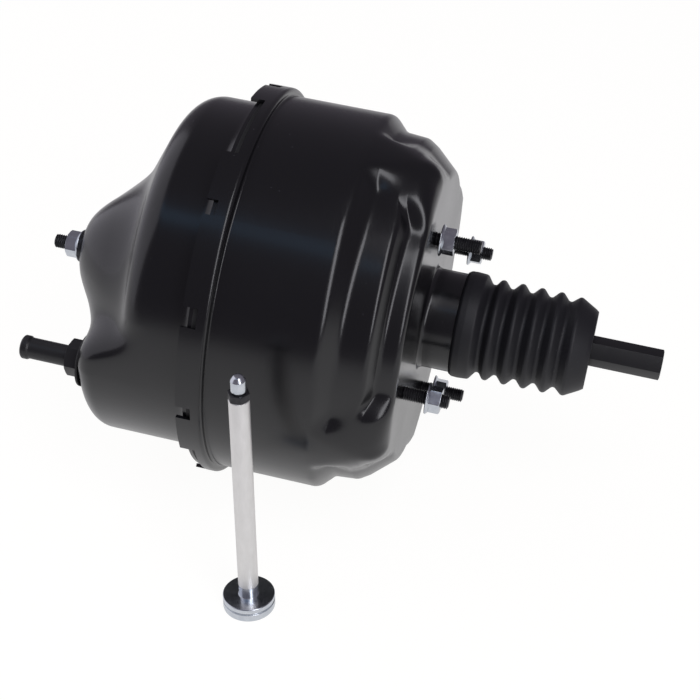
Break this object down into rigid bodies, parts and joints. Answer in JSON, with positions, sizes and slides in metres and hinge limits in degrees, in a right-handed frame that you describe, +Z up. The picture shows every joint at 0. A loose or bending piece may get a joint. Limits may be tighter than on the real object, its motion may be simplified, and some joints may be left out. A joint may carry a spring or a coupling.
{
  "type": "brake booster",
  "caption": "Tandem vacuum brake booster, black shells crimped at a collar, ribbed boot and hex pedal rod, with its loose push rod standing beside it.",
  "frame": {"origin": "centre of the rear mounting face, on the booster's own axis, with the booster lying on the floor as pictured", "axes": "+Z up from the floor, +X along the booster towards the pedal seen from above, +Y away from the side where the loose push rod stands; the booster's own axis dips 5.06 degrees below +X"},
  "size_m": [0.3475, 0.2713, 0.2246],
  "materials": {
    "shell_paint": "glossy black stoving paint",
    "plated": "bright bluish zinc plating",
    "black_oxide": "black oxide thread",
    "inner_steel": "passivated steel",
    "spring_steel": "oiled spring wire",
    "boot_rubber": "matte black",
    "seal_rubber": "matte black",
    "resin": "dark phenolic resin",
    "hose_plastic": "matte black nylon",
    "filter_felt": "open felt",
    "hex_black": "satin black",
    "rod_aluminium": "drawn and frosted",
    "bush_white": "plain nylon"
  },
  "bodies": {
    "booster_body": {"front_shell": "shell_paint", "rear_shell": "shell_paint", "centre_plate": "inner_steel", "divider_seal": "seal_rubber", "front_diaphragm": "seal_rubber", "rear_diaphragm": "seal_rubber", "neck_seal": "seal_rubber", "neck_bush": "bush_white", "return_spring": "spring_steel", "rear_stud_plate": "inner_steel", "front_stud_plate": "inner_steel", "rear_studs": "black_oxide", "front_studs": "black_oxide", "rear_nuts": "plated", "front_nuts": "plated", "front_washers": "black_oxide", "front_seal": "seal_rubber", "hose_grommet": "seal_rubber", "hose_connector": "hose_plastic"},
    "power_piston": {"valve_body": "resin", "front_support_plate": "inner_steel", "rear_support_plate": "inner_steel", "reaction_disc": "seal_rubber", "retaining_key": "inner_steel", "poppet_valve": "seal_rubber", "poppet_spring": "spring_steel", "air_filter": "filter_felt", "silencer": "filter_felt", "dust_boot": "boot_rubber", "rod_return_spring": "spring_steel"},
    "plunger": {"valve_plunger": "inner_steel"},
    "pedal_rod": {"input_rod": "inner_steel", "hex_rod_end": "hex_black"},
    "push_rod": {"push_rod_head": "plated", "push_rod_tube": "rod_aluminium", "push_rod_lock_nut": "black_oxide"},
    "push_rod_tip": {"push_rod_tip_screw": "plated"}
  },
  "joints": [
    {"name": "power_piston_slide", "type": "slide", "parent": "booster_body", "child": "power_piston", "axis": [-0.9961, 0, 0.0882], "range_m": [0, 0.03], "stiffness_N_per_m": 1200, "springref_m": -0.05, "deforming": ["return_spring", "front_diaphragm", "rear_diaphragm", "dust_boot"]},
    {"name": "plunger_slide", "type": "slide", "parent": "power_piston", "child": "plunger", "axis": [-0.9961, 0, 0.0882], "range_m": [0, 0.002], "stiffness_N_per_m": 1500, "springref_m": -0.01, "deforming": ["rod_return_spring"]},
    {"name": "pedal_rod_swivel", "type": "hinge", "parent": "plunger", "child": "pedal_rod", "pos_m": [0.00647, 0, -0.00057], "axis": [0, 1, 0], "range_deg": [-3, 3]},
    {"name": "push_rod_lift", "type": "slide", "parent": "booster_body", "child": "push_rod", "axis": [0, 0, 1], "range_m": [0, 0.05]},
    {"name": "tip_screw_adjust", "type": "slide", "parent": "push_rod", "child": "push_rod_tip", "axis": [0, 0, 1], "range_m": [0, 0.005]}
  ]
}
